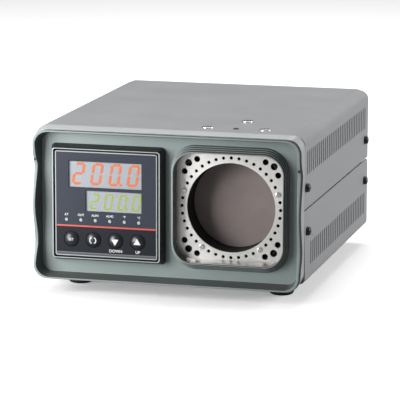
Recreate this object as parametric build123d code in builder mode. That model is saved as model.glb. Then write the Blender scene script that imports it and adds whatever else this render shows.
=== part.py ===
from build123d import *
import os
from math import cos, radians, sin, tan

# Bench blackbody source for checking infrared thermometers. Millimetres, +Z up, the front looks
# along -Y. The origin is on the table under the middle of the case. "depth" is always measured
# back from the front edge of the bezel's lip, and "sheet" is the covers' steel.

os.makedirs("parts", exist_ok=True)

# ---- driving dimensions ----
case_depth = 212.0
case_half_width = 87.5
case_bottom = 12.2
case_top = 107.4
sheet = 1.2
lip_y = -case_depth / 2

# case section: flat top, a slack bevel, then a round shoulder into the side
shoulder_x = 80.0
shoulder_z = 104.7
shoulder_radius = 5.5
base_radius = 3.5

# bezel
bezel_z = 57.5
bezel_width = 173.4
bezel_height = 96.0
bezel_radius = 9.0
neck_step = 1.1
lip_thickness = 1.2
groove = 2.2
seal_set_in = 0.2
band_overhang = 0.4
wave_depth = 3.8
wave_low = 26.0
wave_end = 42.0
frame_back = 11.2
panel_depth = 10.2
panel_back = 12.6
recess_width = 166.8
recess_height = 89.8

# controller
controller_x = -39.4
controller_z = bezel_z + 0.9
controller_base = 75.4
controller_front = 70.9
controller_face = 3.5
face_opening_width = 69.2
face_opening_height = 69.6
face_groove = 1.0
body_size = 67.4
body_back = 95.0
insert_front = 3.9
insert_back = 6.4
key_pitch = 14.57
key_first = -22.8
key_row = -22.9
key_radius = 4.9
lamp_pitch = 9.55
lamp_first = -26.1
lamp_row = -10.4

# target
target_x = 39.9
target_z = bezel_z + 1.5
aperture = 70.6
aperture_radius = 13.0
collar_width = 76.5
collar_height = 79.4
collar_rise = 6.1
collar_steps = 4
collar_ledge = 0.22
collar_mouth = aperture + 0.9
plate_front = 12.9
plate_sheet = 0.8
ring_hole_radius = 28.6
ring_pitch_radius = 31.9
ring_holes = 40
target_depth = 29.6
target_radius = 28.3
can_radius = 39.2
can_back = 56.8

# covers, chassis and rear
seam_z = 59.8
seam_gap = 1.0
upper_slots = 32
upper_slot_length = 15.3
upper_slot_z = 88.95
lower_slots = 30
lower_slot_length = 15.1
lower_slot_z = 29.55
slot_width = 2.3
slot_pitch = 5.85
slot_last = 200.7
upper_screw_z = 73.9
upper_screw_depths = (15.2, 200.7)
lower_screw_z = 45.8
lower_screw_depths = (18.2, 199.7)
screw_hole = 1.6
tapped_hole = 1.55
top_screw_places = ((21.3, 25.3), (58.7, 25.3), (40.0, 54.7))  # across, depth
bush_x = 40.0
bush_depth = 24.3
chassis_inset = sheet + 0.1
ring_back = 22.0
rear_face = 197.5
rear_sheet = 1.5
rail_back = rear_face - rear_sheet - 0.1
foot_x = 67.0
foot_depths = (38.5, 193.0)
foot_radius = 8.0
fan_size = 60.0
fan_mouth = 28.6
fan_screw_pitch = 50.0
fan_back = rail_back
fan_front = fan_back - 18.4
inlet_x = -50.0
inlet_z = 50.0
switch_x = -12.0
rocker_pivot = rear_face - 1.0
rocker_swing = 20.0


def facing_front(depth, x=0.0, z=0.0):
    """A plane across the case, at a depth, that looks out of the front."""
    return Plane(origin=(x, lip_y + depth, z), x_dir=(1, 0, 0), z_dir=(0, -1, 0))


def facing_side(x, depth=0.0, z=0.0):
    """An upright plane along the case: its own x runs to the back and its own y runs up."""
    return Plane(origin=(x, lip_y + depth, z), x_dir=(0, 1, 0), z_dir=(1, 0, 0))


def case_section(inset):
    """The closed case cut across, brought in from its outer skin by inset."""
    with BuildSketch() as section:
        with BuildLine():
            Polyline(
                (-shoulder_x, case_top),
                (shoulder_x, case_top),
                (case_half_width, shoulder_z),
                (case_half_width, case_bottom),
                (-case_half_width, case_bottom),
                (-case_half_width, shoulder_z),
                close=True,
            )
        make_face()
        shoulders = section.vertices().filter_by_position(Axis.Y, shoulder_z - 1, shoulder_z + 1)
        fillet(shoulders, shoulder_radius)
        fillet(section.vertices().group_by(Axis.Y)[0], base_radius)
        if inset > 0:
            offset(amount=-inset, mode=Mode.REPLACE)
    return section.sketch


def ahead_of_wave(setback):
    """Everything in front of the bezel's wavy side edge, with that edge moved back by setback."""
    reach = 120.0
    with BuildPart() as region:
        with BuildSketch(facing_side(0, setback, bezel_z)):
            with BuildLine():
                wave = Spline(
                    (0, -wave_end),
                    (wave_depth, -wave_low),
                    (0, 0),
                    (wave_depth, wave_low),
                    (0, wave_end),
                    tangents=((0, 1), (0, 1)),
                )
                Polyline(wave @ 1, (0, reach), (-reach, reach), (-reach, -reach), (0, -reach), wave @ 0)
            make_face()
        extrude(amount=reach, both=True)
    return region.part


# ---- bezel: lip, neck, sloping recess walls, panel and the stepped collar round the target ----
with BuildPart() as bezel_lip:
    with BuildSketch(facing_front(lip_thickness + wave_depth, z=bezel_z)):
        RectangleRounded(bezel_width, bezel_height, bezel_radius)
    extrude(amount=lip_thickness + wave_depth)
    add(ahead_of_wave(lip_thickness), mode=Mode.INTERSECT)

with BuildPart() as front_bezel:
    with BuildSketch(facing_front(frame_back, z=bezel_z)):
        RectangleRounded(
            bezel_width - 2 * neck_step, bezel_height - 2 * neck_step, bezel_radius - neck_step
        )
    extrude(amount=frame_back)
    with BuildSketch(facing_front(panel_back)):
        add(case_section(chassis_inset + 1.3))
    extrude(amount=panel_back - frame_back)
    add(bezel_lip.part)
    with BuildSketch(facing_front(panel_depth, z=bezel_z)):
        RectangleRounded(recess_width, recess_height, 6.5)
    extrude(amount=panel_depth, taper=-10, mode=Mode.SUBTRACT)
    add(ahead_of_wave(0), mode=Mode.SUBTRACT)
    for step in range(collar_steps):
        foot_share = step / collar_steps
        top_share = (step + 1 - collar_ledge) / collar_steps
        for share, rise in ((foot_share, step), (top_share, step + 1)):
            ridge_depth = panel_depth - collar_rise * rise / collar_steps
            with BuildSketch(facing_front(ridge_depth, target_x, target_z)):
                RectangleRounded(
                    collar_width - share * (collar_width - collar_mouth),
                    collar_height - share * (collar_height - collar_mouth),
                    aperture_radius + (1 - share) * (collar_width - aperture) / 2,
                )
        loft()
    with BuildSketch(facing_front(panel_back, target_x, target_z)):
        RectangleRounded(aperture, aperture, aperture_radius)
    extrude(amount=panel_back, mode=Mode.SUBTRACT)
    with BuildSketch(facing_front(panel_back, controller_x, controller_z)):
        Rectangle(body_size + 0.6, body_size + 0.6)
    extrude(amount=panel_back, mode=Mode.SUBTRACT)
front_bezel.part.label = "front_bezel"
export_step(front_bezel.part, "parts/front_bezel.step")

# rubber seal that shows as the dark groove behind the lip
with BuildPart() as front_gasket:
    with BuildSketch(facing_front(lip_thickness + groove + wave_depth, z=bezel_z)):
        RectangleRounded(
            bezel_width - 2 * seal_set_in, bezel_height - 2 * seal_set_in, bezel_radius - seal_set_in
        )
        RectangleRounded(
            bezel_width - 2 * neck_step + 0.1,
            bezel_height - 2 * neck_step + 0.1,
            bezel_radius - neck_step,
            mode=Mode.SUBTRACT,
        )
    extrude(amount=lip_thickness + groove + wave_depth)
    add(ahead_of_wave(lip_thickness + groove - 0.05), mode=Mode.INTERSECT)
    add(ahead_of_wave(lip_thickness + 0.05), mode=Mode.SUBTRACT)
front_gasket.part.label = "front_gasket"
export_step(front_gasket.part, "parts/front_gasket.step")

# painted band between the groove and the covers; it swells from the bezel's outline to the case's
with BuildPart() as front_frame:
    with BuildSketch(facing_front(frame_back, z=(case_top + case_bottom) / 2)):
        RectangleRounded(2 * case_half_width, case_top - case_bottom, bezel_radius - 1)
    with BuildSketch(facing_front(lip_thickness + groove, z=bezel_z)):
        RectangleRounded(
            bezel_width + 2 * band_overhang, bezel_height + 2 * band_overhang, bezel_radius + band_overhang
        )
    loft()
    with BuildSketch(facing_front(frame_back, z=bezel_z)):
        RectangleRounded(
            bezel_width - 2 * neck_step + 0.1, bezel_height - 2 * neck_step + 0.1, bezel_radius - neck_step
        )
    extrude(amount=frame_back, mode=Mode.SUBTRACT)
    add(ahead_of_wave(lip_thickness + groove), mode=Mode.SUBTRACT)
front_frame.part.label = "front_frame"
export_step(front_frame.part, "parts/front_frame.step")

# ---- covers ----
with BuildPart() as upper_cover:
    with BuildSketch(facing_front(case_depth)):
        add(case_section(0))
        add(case_section(sheet), mode=Mode.SUBTRACT)
    extrude(amount=case_depth - frame_back - 0.1)
    split(bisect_by=Plane.XY.offset(seam_z + seam_gap / 2), keep=Keep.TOP)
    slots_middle = slot_last - slot_pitch * (upper_slots - 1) / 2
    with BuildSketch(facing_side(0, slots_middle, upper_slot_z)):
        with GridLocations(slot_pitch, 1, upper_slots, 1):
            SlotOverall(upper_slot_length, slot_width, rotation=90)
    extrude(amount=2 * case_half_width, both=True, mode=Mode.SUBTRACT)
    with BuildSketch(facing_side(0, 0, upper_screw_z)):
        with Locations(*[(depth, 0) for depth in upper_screw_depths]):
            Circle(screw_hole)
    extrude(amount=2 * case_half_width, both=True, mode=Mode.SUBTRACT)
    with BuildSketch(Plane.XY.offset(case_top - 5)):
        with Locations(*[(x, lip_y + depth) for x, depth in top_screw_places]):
            Circle(2.1)
        with Locations((bush_x, lip_y + bush_depth)):
            Circle(1.5)
    extrude(amount=10, mode=Mode.SUBTRACT)
upper_cover.part.label = "upper_cover"
export_step(upper_cover.part, "parts/upper_cover.step")

with BuildPart() as lower_cover:
    with BuildSketch(facing_front(case_depth)):
        add(case_section(0))
        add(case_section(sheet), mode=Mode.SUBTRACT)
    extrude(amount=case_depth - frame_back - 0.1)
    split(bisect_by=Plane.XY.offset(seam_z - seam_gap / 2), keep=Keep.BOTTOM)
    # the front edge leans back towards the table, and the upper rear corners are nipped off
    with BuildSketch(facing_side(0)):
        with BuildLine():
            Polyline((frame_back, 53), (frame_back + 3.3, 10), (frame_back - 1, 10), close=True)
        make_face()
        with BuildLine():
            Polyline((case_depth - 3, 60), (case_depth + 1, 60), (case_depth + 1, 55), close=True)
        make_face()
    extrude(amount=2 * case_half_width, both=True, mode=Mode.SUBTRACT)
    slots_middle = slot_last - slot_pitch * (lower_slots - 1) / 2
    with BuildSketch(facing_side(0, slots_middle, lower_slot_z)):
        with GridLocations(slot_pitch, 1, lower_slots, 1):
            SlotOverall(lower_slot_length, slot_width, rotation=90)
    extrude(amount=2 * case_half_width, both=True, mode=Mode.SUBTRACT)
    with BuildSketch(facing_side(0, 0, lower_screw_z)):
        with Locations(*[(depth, 0) for depth in lower_screw_depths]):
            Circle(screw_hole)
    extrude(amount=2 * case_half_width, both=True, mode=Mode.SUBTRACT)
    with BuildSketch(Plane.XY.offset(case_bottom - 1)):
        for depth in foot_depths:
            with Locations((-foot_x, lip_y + depth), (foot_x, lip_y + depth)):
                Circle(2.1)
    extrude(amount=5, mode=Mode.SUBTRACT)
lower_cover.part.label = "lower_cover"
export_step(lower_cover.part, "parts/lower_cover.step")

# ---- chassis ----
with BuildPart() as chassis_ring:
    with BuildSketch(facing_front(ring_back)):
        add(case_section(chassis_inset))
        add(case_section(chassis_inset + sheet), mode=Mode.SUBTRACT)
    extrude(amount=ring_back - frame_back - 0.1)
    with BuildSketch(facing_front(21.2)):
        add(case_section(chassis_inset + 0.5))
        with Locations((0, bezel_z)):
            RectangleRounded(160, 84, 4, mode=Mode.SUBTRACT)
    extrude(amount=sheet)
    with BuildSketch(facing_side(0)):
        with Locations((upper_screw_depths[0], upper_screw_z), (lower_screw_depths[0], lower_screw_z)):
            Circle(tapped_hole)
    extrude(amount=2 * case_half_width, both=True, mode=Mode.SUBTRACT)
chassis_ring.part.label = "chassis_ring"
export_step(chassis_ring.part, "parts/chassis_ring.step")

with BuildPart() as chassis_tray:
    tray_base = case_bottom + sheet + 0.1
    with BuildSketch(facing_front(rail_back)):
        with BuildLine():
            Polyline(
                (-84.4, tray_base + 8),
                (-84.4, tray_base),
                (84.4, tray_base),
                (84.4, tray_base + 8),
                (83.2, tray_base + 8),
                (83.2, tray_base + sheet),
                (-83.2, tray_base + sheet),
                (-83.2, tray_base + 8),
                close=True,
            )
        make_face()
    extrude(amount=rail_back - ring_back - 0.2)
    with BuildSketch(Plane.XY.offset(tray_base - 1)):
        for depth in foot_depths:
            with Locations((-foot_x, lip_y + depth), (foot_x, lip_y + depth)):
                Circle(2.1)
    extrude(amount=5, mode=Mode.SUBTRACT)
chassis_tray.part.label = "chassis_tray"
export_step(chassis_tray.part, "parts/chassis_tray.step")

rail_bottom = 40.0
rail_top = 79.5
rail_skin = case_half_width - chassis_inset
for side, side_name in ((-1, "left"), (1, "right")):
    with BuildPart() as side_rail:
        with BuildSketch(facing_front(rail_back)):
            with BuildLine():
                Polyline(
                    (side * rail_skin, rail_bottom),
                    (side * rail_skin, rail_top),
                    (side * (rail_skin - 9), rail_top),
                    (side * (rail_skin - 9), rail_top - 1.5),
                    (side * (rail_skin - 1.5), rail_top - 1.5),
                    (side * (rail_skin - 1.5), rail_bottom + 1.5),
                    (side * (rail_skin - 9), rail_bottom + 1.5),
                    (side * (rail_skin - 9), rail_bottom),
                    close=True,
                )
            make_face()
        extrude(amount=rail_back - ring_back - 0.2)
    side_rail.part.label = f"side_rail_{side_name}"
    export_step(side_rail.part, f"parts/side_rail_{side_name}.step")

# ---- screws, plug and feet of the case ----
with BuildPart() as cover_screws:
    for side in (-1, 1):
        for depths, z in ((upper_screw_depths, upper_screw_z), (lower_screw_depths, lower_screw_z)):
            for depth, length in zip(depths, (7, 4)):
                seat = Plane(
                    origin=(side * case_half_width, lip_y + depth, z), x_dir=(0, 1, 0), z_dir=(side, 0, 0)
                )
                with BuildSketch(seat):
                    Circle(2.8)
                extrude(amount=2.7, taper=8)
                with BuildSketch(seat):
                    Circle(1.5)
                extrude(amount=-length)
cover_screws.part.label = "cover_screws"
export_step(cover_screws.part, "parts/cover_screws.step")

with BuildPart() as top_screws:
    for x, depth in top_screw_places:
        with BuildSketch(Plane.XY.offset(case_top)):
            with Locations((x, lip_y + depth)):
                Circle(3.6)
        extrude(amount=0.6, taper=30)
        with BuildSketch(Plane.XY.offset(case_top)):
            with Locations((x, lip_y + depth)):
                Circle(1.9)
        extrude(amount=-5)
top_screws.part.label = "top_screws"
export_step(top_screws.part, "parts/top_screws.step")

with BuildPart() as top_plug:
    with BuildSketch(Plane.XY.offset(case_top)):
        with Locations((bush_x, lip_y + bush_depth)):
            Circle(1.9)
    extrude(amount=0.5, taper=20)
    with BuildSketch(Plane.XY.offset(case_top)):
        with Locations((bush_x, lip_y + bush_depth)):
            Circle(1.4)
    extrude(amount=-sheet)
top_plug.part.label = "top_plug"
export_step(top_plug.part, "parts/top_plug.step")

for depth, end_name in zip(foot_depths, ("front", "rear")):
    for side, side_name in ((-1, "left"), (1, "right")):
        with BuildPart() as foot:
            with BuildSketch(Plane.XY):
                with Locations((side * foot_x, lip_y + depth)):
                    Circle(foot_radius)
            extrude(amount=case_bottom)
            fillet(foot.edges().group_by(Axis.Z)[0], 2.2)
            with BuildSketch(Plane.XY):
                with Locations((side * foot_x, lip_y + depth)):
                    Circle(4.1)
            extrude(amount=6.5, mode=Mode.SUBTRACT)
            with BuildSketch(Plane.XY):
                with Locations((side * foot_x, lip_y + depth)):
                    Circle(2.1)
            extrude(amount=case_bottom, mode=Mode.SUBTRACT)
        foot.part.label = f"foot_{end_name}_{side_name}"
        export_step(foot.part, f"parts/foot_{end_name}_{side_name}.step")

with BuildPart() as foot_screws:
    for depth in foot_depths:
        for side in (-1, 1):
            with BuildSketch(Plane.XY.offset(6.5)):
                with Locations((side * foot_x, lip_y + depth)):
                    Circle(3.6)
            extrude(amount=-2.4)
            with BuildSketch(Plane.XY.offset(6.5)):
                with Locations((side * foot_x, lip_y + depth)):
                    Circle(1.9)
            extrude(amount=13)
foot_screws.part.label = "foot_screws"
export_step(foot_screws.part, "parts/foot_screws.step")

# ---- controller ----
with BuildPart() as controller_case:
    flare = panel_depth - controller_face - 0.6
    with BuildSketch(facing_front(panel_depth, controller_x, controller_z)):
        RectangleRounded(controller_base, controller_base, 3)
    with BuildSketch(facing_front(panel_depth - flare, controller_x, controller_z)):
        RectangleRounded(controller_front, controller_front, 2)
    loft()
    with BuildSketch(facing_front(body_back, controller_x, controller_z)):
        RectangleRounded(body_size, body_size, 2)
    extrude(amount=body_back - panel_depth)
    with BuildSketch(facing_front(8, controller_x, controller_z)):
        RectangleRounded(face_opening_width, face_opening_height, 1.5)
    extrude(amount=8, mode=Mode.SUBTRACT)
    with BuildSketch(facing_front(body_back - 2, controller_x, controller_z)):
        Rectangle(63, 63)
    extrude(amount=body_back - 2, mode=Mode.SUBTRACT)
controller_case.part.label = "controller_case"
export_step(controller_case.part, "parts/controller_case.step")

with BuildPart() as controller_rim:
    with BuildSketch(facing_front(panel_depth - flare, controller_x, controller_z)):
        RectangleRounded(controller_front, controller_front, 2)
        RectangleRounded(face_opening_width + 0.2, face_opening_height + 0.2, 1.5, mode=Mode.SUBTRACT)
    extrude(amount=0.6)
controller_rim.part.label = "controller_rim"
export_step(controller_rim.part, "parts/controller_rim.step")

# windows and displays: name, middle x, middle z, width, height, all from the controller's middle
screens = (("upper", -0.65, 18.9, 47.7, 16.7), ("lower", 4.9, 1.95, 36.5, 13.2))
key_names = ("set", "cycle", "down", "up")

with BuildPart() as controller_insert:
    with BuildSketch(facing_front(insert_back, controller_x, controller_z)):
        RectangleRounded(face_opening_width - 2 * face_groove, face_opening_height - 2 * face_groove, 1.2)
        for screen_name, x, z, width, height in screens:
            with Locations((x, z)):
                Rectangle(width + 0.2, height + 0.2, mode=Mode.SUBTRACT)
        for lamp in range(6):
            with Locations((lamp_first + lamp * lamp_pitch, lamp_row)):
                Circle(1.2, mode=Mode.SUBTRACT)
        for key in range(4):
            with Locations((key_first + key * key_pitch, key_row)):
                Circle(key_radius + 0.2, mode=Mode.SUBTRACT)
    extrude(amount=insert_back - insert_front)
controller_insert.part.label = "controller_insert"
export_step(controller_insert.part, "parts/controller_insert.step")

for screen_name, x, z, width, height in screens:
    with BuildPart() as window:
        with BuildSketch(facing_front(4.8, controller_x + x, controller_z + z)):
            Rectangle(width, height)
        extrude(amount=1)
    window.part.label = f"{screen_name}_window"
    export_step(window.part, f"parts/{screen_name}_window.step")
    with BuildPart() as display:
        with BuildSketch(facing_front(9.8, controller_x + x, controller_z + z)):
            Rectangle(width - 0.2, height - 0.2)
        extrude(amount=4.9)
    display.part.label = f"{screen_name}_display"
    export_step(display.part, f"parts/{screen_name}_display.step")

with BuildPart() as indicator_lamps:
    for lamp in range(6):
        lamp_x = controller_x + lamp_first + lamp * lamp_pitch
        with BuildSketch(facing_front(9.8, lamp_x, controller_z + lamp_row)):
            Circle(1.1)
        extrude(amount=6.1)
indicator_lamps.part.label = "indicator_lamps"
export_step(indicator_lamps.part, "parts/indicator_lamps.step")

for key, key_name in enumerate(key_names):
    key_x = controller_x + key_first + key * key_pitch
    with BuildPart() as key_cap:
        with BuildSketch(facing_front(7.5, key_x, controller_z + key_row)):
            Circle(key_radius)
        extrude(amount=5.4)
        fillet(key_cap.edges().group_by(Axis.Y)[0], 1.6)
        with BuildSketch(facing_front(7.5, key_x, controller_z + key_row)):
            Circle(key_radius + 0.9)
        extrude(amount=0.8)
    key_cap.part.label = f"key_{key_name}"
    export_step(key_cap.part, f"parts/key_{key_name}.step")

with BuildPart() as key_switches:
    for key in range(4):
        key_x = controller_x + key_first + key * key_pitch
        with BuildSketch(facing_front(9.9, key_x, controller_z + key_row)):
            Rectangle(6, 6)
        extrude(amount=0.9)
        with BuildSketch(facing_front(9, key_x, controller_z + key_row)):
            Circle(1.7)
        extrude(amount=0.5)
key_switches.part.label = "key_switches"
export_step(key_switches.part, "parts/key_switches.step")

with BuildPart() as controller_board:
    with BuildSketch(facing_front(11.5, controller_x, controller_z)):
        RectangleRounded(62, 62, 1)
    extrude(amount=1.6)
controller_board.part.label = "controller_board"
export_step(controller_board.part, "parts/controller_board.step")

with BuildPart() as controller_clamps:
    for side in (-1, 1):
        clamp_x = controller_x + side * (body_size / 2 + 2.2)
        with BuildSketch(facing_front(26, clamp_x, controller_z)):
            RectangleRounded(4, 30, 1)
        extrude(amount=26 - panel_back - 0.1)
controller_clamps.part.label = "controller_clamps"
export_step(controller_clamps.part, "parts/controller_clamps.step")

# ---- target, its perforated plate and the heater behind it ----
with BuildPart() as perforated_plate:
    with BuildSketch(facing_front(plate_front + plate_sheet, target_x, target_z)):
        RectangleRounded(77, 77, 5)
        Circle(ring_hole_radius, mode=Mode.SUBTRACT)
        with PolarLocations(ring_pitch_radius, ring_holes):
            Circle(1.05, mode=Mode.SUBTRACT)
        for quarter_x in (-1, 1):
            for quarter_z in (-1, 1):
                with Locations((quarter_x * 27.6, quarter_z * 27.6)):
                    Circle(2.3, mode=Mode.SUBTRACT)
                with Locations((quarter_x * 22.1, quarter_z * 30.2), (quarter_x * 30.2, quarter_z * 22.1)):
                    Circle(1.95, mode=Mode.SUBTRACT)
    extrude(amount=plate_sheet)
perforated_plate.part.label = "perforated_plate"
export_step(perforated_plate.part, "parts/perforated_plate.step")

with BuildPart() as plate_screws:
    for place in PolarLocations(ring_pitch_radius, 5, 18, 360):
        spot = place.position
        if spot.Y < ring_pitch_radius * 0.9:
            with BuildSketch(facing_front(plate_front, target_x + spot.X, target_z + spot.Y)):
                Circle(1.7)
            extrude(amount=0.8, taper=20)
            with BuildSketch(facing_front(plate_front, target_x + spot.X, target_z + spot.Y)):
                Circle(0.95)
            extrude(amount=-3)
plate_screws.part.label = "plate_screws"
export_step(plate_screws.part, "parts/plate_screws.step")

# bright strip on the floor of the aperture, sloping down to the front
with BuildPart() as sill_strip:
    floor = target_z - aperture / 2
    with BuildSketch(facing_side(target_x)):
        with BuildLine():
            Polyline(
                (plate_front - 0.1, floor + 2.0),
                (plate_front - 0.1, floor + 1.2),
                (5.0, floor),
                (5.0, floor + 0.8),
                close=True,
            )
        make_face()
    extrude(amount=aperture / 2, both=True)
    with BuildSketch(facing_front(panel_back + 1, target_x, target_z)):
        RectangleRounded(aperture - 0.1, aperture - 0.1, aperture_radius)
    extrude(amount=panel_back, mode=Mode.INTERSECT)
sill_strip.part.label = "sill_strip"
export_step(sill_strip.part, "parts/sill_strip.step")

with BuildPart() as target_shroud:
    with BuildSketch(facing_front(33, target_x, target_z)):
        Circle(30.3)
        Circle(target_radius + 0.4, mode=Mode.SUBTRACT)
    extrude(amount=33 - plate_front - plate_sheet - 0.1)
target_shroud.part.label = "target_shroud"
export_step(target_shroud.part, "parts/target_shroud.step")

block_back = 44.7
with BuildPart() as target_disc:
    with BuildSketch(facing_front(target_depth + 3, target_x, target_z)):
        Circle(target_radius)
    extrude(amount=3)
target_disc.part.label = "target_disc"
export_step(target_disc.part, "parts/target_disc.step")

with BuildPart() as heater_block:
    with BuildSketch(facing_front(block_back, target_x, target_z)):
        Circle(target_radius)
        Circle(1.6, mode=Mode.SUBTRACT)
    extrude(amount=block_back - target_depth - 3.1)
    with BuildSketch(Plane(origin=(target_x, lip_y + 38.5, target_z), z_dir=(0, 0, 1))):
        with Locations((-12, 0), (12, 0)):
            Circle(3.3)
    extrude(amount=target_radius, both=True, mode=Mode.SUBTRACT)
heater_block.part.label = "heater_block"
export_step(heater_block.part, "parts/heater_block.step")

with BuildPart() as heater_cartridges:
    with BuildSketch(Plane(origin=(target_x, lip_y + 38.5, target_z - 25), z_dir=(0, 0, 1))):
        with Locations((-12, 0), (12, 0)):
            Circle(3.25)
    extrude(amount=50)
heater_cartridges.part.label = "heater_cartridges"
export_step(heater_cartridges.part, "parts/heater_cartridges.step")

with BuildPart() as temperature_probe:
    with BuildSketch(facing_front(64, target_x, target_z)):
        Circle(1.5)
    extrude(amount=64 - 36)
    with BuildSketch(facing_front(50, target_x, target_z)):
        RegularPolygon(4, 6)
    extrude(amount=50 - block_back - 0.1)
temperature_probe.part.label = "temperature_probe"
export_step(temperature_probe.part, "parts/temperature_probe.step")

with BuildPart() as insulation_ring:
    with BuildSketch(facing_front(46, target_x, target_z)):
        Circle(can_radius - 0.8)
        Circle(30.5, mode=Mode.SUBTRACT)
    extrude(amount=24)
insulation_ring.part.label = "insulation_ring"
export_step(insulation_ring.part, "parts/insulation_ring.step")

with BuildPart() as heat_shield:
    with BuildSketch(facing_front(can_back, target_x, target_z)):
        Circle(can_radius)
    extrude(amount=can_back - 14.5)
    with BuildSketch(facing_front(can_back - 0.7, target_x, target_z)):
        Circle(can_radius - 0.7)
    extrude(amount=can_back, mode=Mode.SUBTRACT)
    with BuildSketch(facing_front(can_back, target_x, target_z)):
        Circle(6)
    extrude(amount=5, mode=Mode.SUBTRACT)
heat_shield.part.label = "heat_shield"
export_step(heat_shield.part, "parts/heat_shield.step")

with BuildPart() as standoff_posts:
    with BuildSketch(facing_front(can_back - 0.8, target_x, target_z)):
        with PolarLocations(20, 3, 90):
            Circle(2.5)
    extrude(amount=can_back - 0.8 - block_back - 0.1)
standoff_posts.part.label = "standoff_posts"
export_step(standoff_posts.part, "parts/standoff_posts.step")

# bent strap that hangs the heater from the three top screws
with BuildPart() as heater_bracket:
    bracket_top = case_top - sheet - 0.1
    with BuildSketch(Plane.XY.offset(bracket_top - 1.2)):
        with Locations((target_x, lip_y + (ring_back + can_back + 6) / 2)):
            Rectangle(56, can_back + 5.6 - ring_back)
        with Locations(*[(x, lip_y + depth) for x, depth in top_screw_places]):
            Circle(2.0, mode=Mode.SUBTRACT)
    extrude(amount=1.2)
    with BuildSketch(Plane.XY.offset(target_z - 14)):
        with Locations((target_x, lip_y + can_back + 0.1 + 0.6)):
            Rectangle(30, 1.2)
    extrude(amount=bracket_top - target_z + 14)
    with BuildSketch(facing_front(can_back + 2, target_x, target_z)):
        Circle(6)
    extrude(amount=2, mode=Mode.SUBTRACT)
heater_bracket.part.label = "heater_bracket"
export_step(heater_bracket.part, "parts/heater_bracket.step")

# ---- power parts on the tray ----
tray_top = tray_base + sheet + 0.1
sink_x = -50.0
sink_depth = 142.0
with BuildPart() as heat_sink:
    with BuildSketch(facing_front(sink_depth + 30, sink_x, tray_top + 12)):
        with Locations((0, 2)):
            Rectangle(56, 4)
        with Locations((0, -6)):
            with GridLocations(6.75, 1, 9, 1):
                Rectangle(1.6, 12)
    extrude(amount=60)
heat_sink.part.label = "heat_sink"
export_step(heat_sink.part, "parts/heat_sink.step")

with BuildPart() as relay:
    with BuildSketch(Plane.XY.offset(tray_top + 16.1)):
        with Locations((sink_x, lip_y + sink_depth)):
            RectangleRounded(45, 57, 2)
    extrude(amount=17)
    with BuildSketch(Plane.XY.offset(tray_top + 33.1)):
        with Locations((sink_x, lip_y + sink_depth)):
            Rectangle(45, 30)
    extrude(amount=5)
relay.part.label = "relay"
export_step(relay.part, "parts/relay.step")

with BuildPart() as terminal_block:
    with BuildSketch(Plane.XY.offset(tray_top)):
        with Locations((10, lip_y + sink_depth)):
            Rectangle(56, 18)
    extrude(amount=12)
    with BuildSketch(Plane.XY.offset(tray_top + 6)):
        with Locations((10, lip_y + sink_depth)):
            with GridLocations(9, 12, 6, 2):
                Rectangle(6, 6)
    extrude(amount=8, mode=Mode.SUBTRACT)
terminal_block.part.label = "terminal_block"
export_step(terminal_block.part, "parts/terminal_block.step")

# ---- rear panel, fan, mains inlet and switch ----
with BuildPart() as rear_panel:
    with BuildSketch(facing_front(rear_face)):
        add(case_section(chassis_inset))
        with Locations((target_x, target_z)):
            Circle(fan_mouth, mode=Mode.SUBTRACT)
            with GridLocations(fan_screw_pitch, fan_screw_pitch, 2, 2):
                Circle(2.2, mode=Mode.SUBTRACT)
        with Locations((inlet_x, inlet_z)):
            Rectangle(28.4, 31.4, mode=Mode.SUBTRACT)
        with Locations((switch_x, inlet_z)):
            Rectangle(13.2, 19.4, mode=Mode.SUBTRACT)
    extrude(amount=rear_sheet)
    # four tabs bent back take the covers' rear screws
    for side in (-1, 1):
        with BuildSketch(facing_side(side * (rail_skin - 1.3 / 2), rear_face + 4, 0)):
            with Locations((0, upper_screw_z), (0, lower_screw_z)):
                Rectangle(8, 12)
        extrude(amount=1.3 / 2, both=True)
    with BuildSketch(facing_side(0)):
        with Locations((upper_screw_depths[1], upper_screw_z), (lower_screw_depths[1], lower_screw_z)):
            Circle(tapped_hole)
    extrude(amount=2 * case_half_width, both=True, mode=Mode.SUBTRACT)
rear_panel.part.label = "rear_panel"
export_step(rear_panel.part, "parts/rear_panel.step")

with BuildPart() as fan_frame:
    with BuildSketch(facing_front(fan_back, target_x, target_z)):
        RectangleRounded(fan_size, fan_size, 4)
        Circle(fan_mouth, mode=Mode.SUBTRACT)
        with GridLocations(fan_screw_pitch, fan_screw_pitch, 2, 2):
            Circle(2.1, mode=Mode.SUBTRACT)
    extrude(amount=fan_back - fan_front)
    with BuildSketch(facing_front(fan_back, target_x, target_z)):
        Circle(12)
        Rectangle(58, 4)
        Rectangle(4, 58)
    extrude(amount=2)
    with BuildSketch(facing_front(fan_back - 2, target_x, target_z)):
        Circle(9.5)
    extrude(amount=12)
    with BuildSketch(facing_front(fan_back - 1, target_x, target_z)):
        Circle(1.55)
    extrude(amount=20, mode=Mode.SUBTRACT)
fan_frame.part.label = "fan_frame"
export_step(fan_frame.part, "parts/fan_frame.step")

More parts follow.
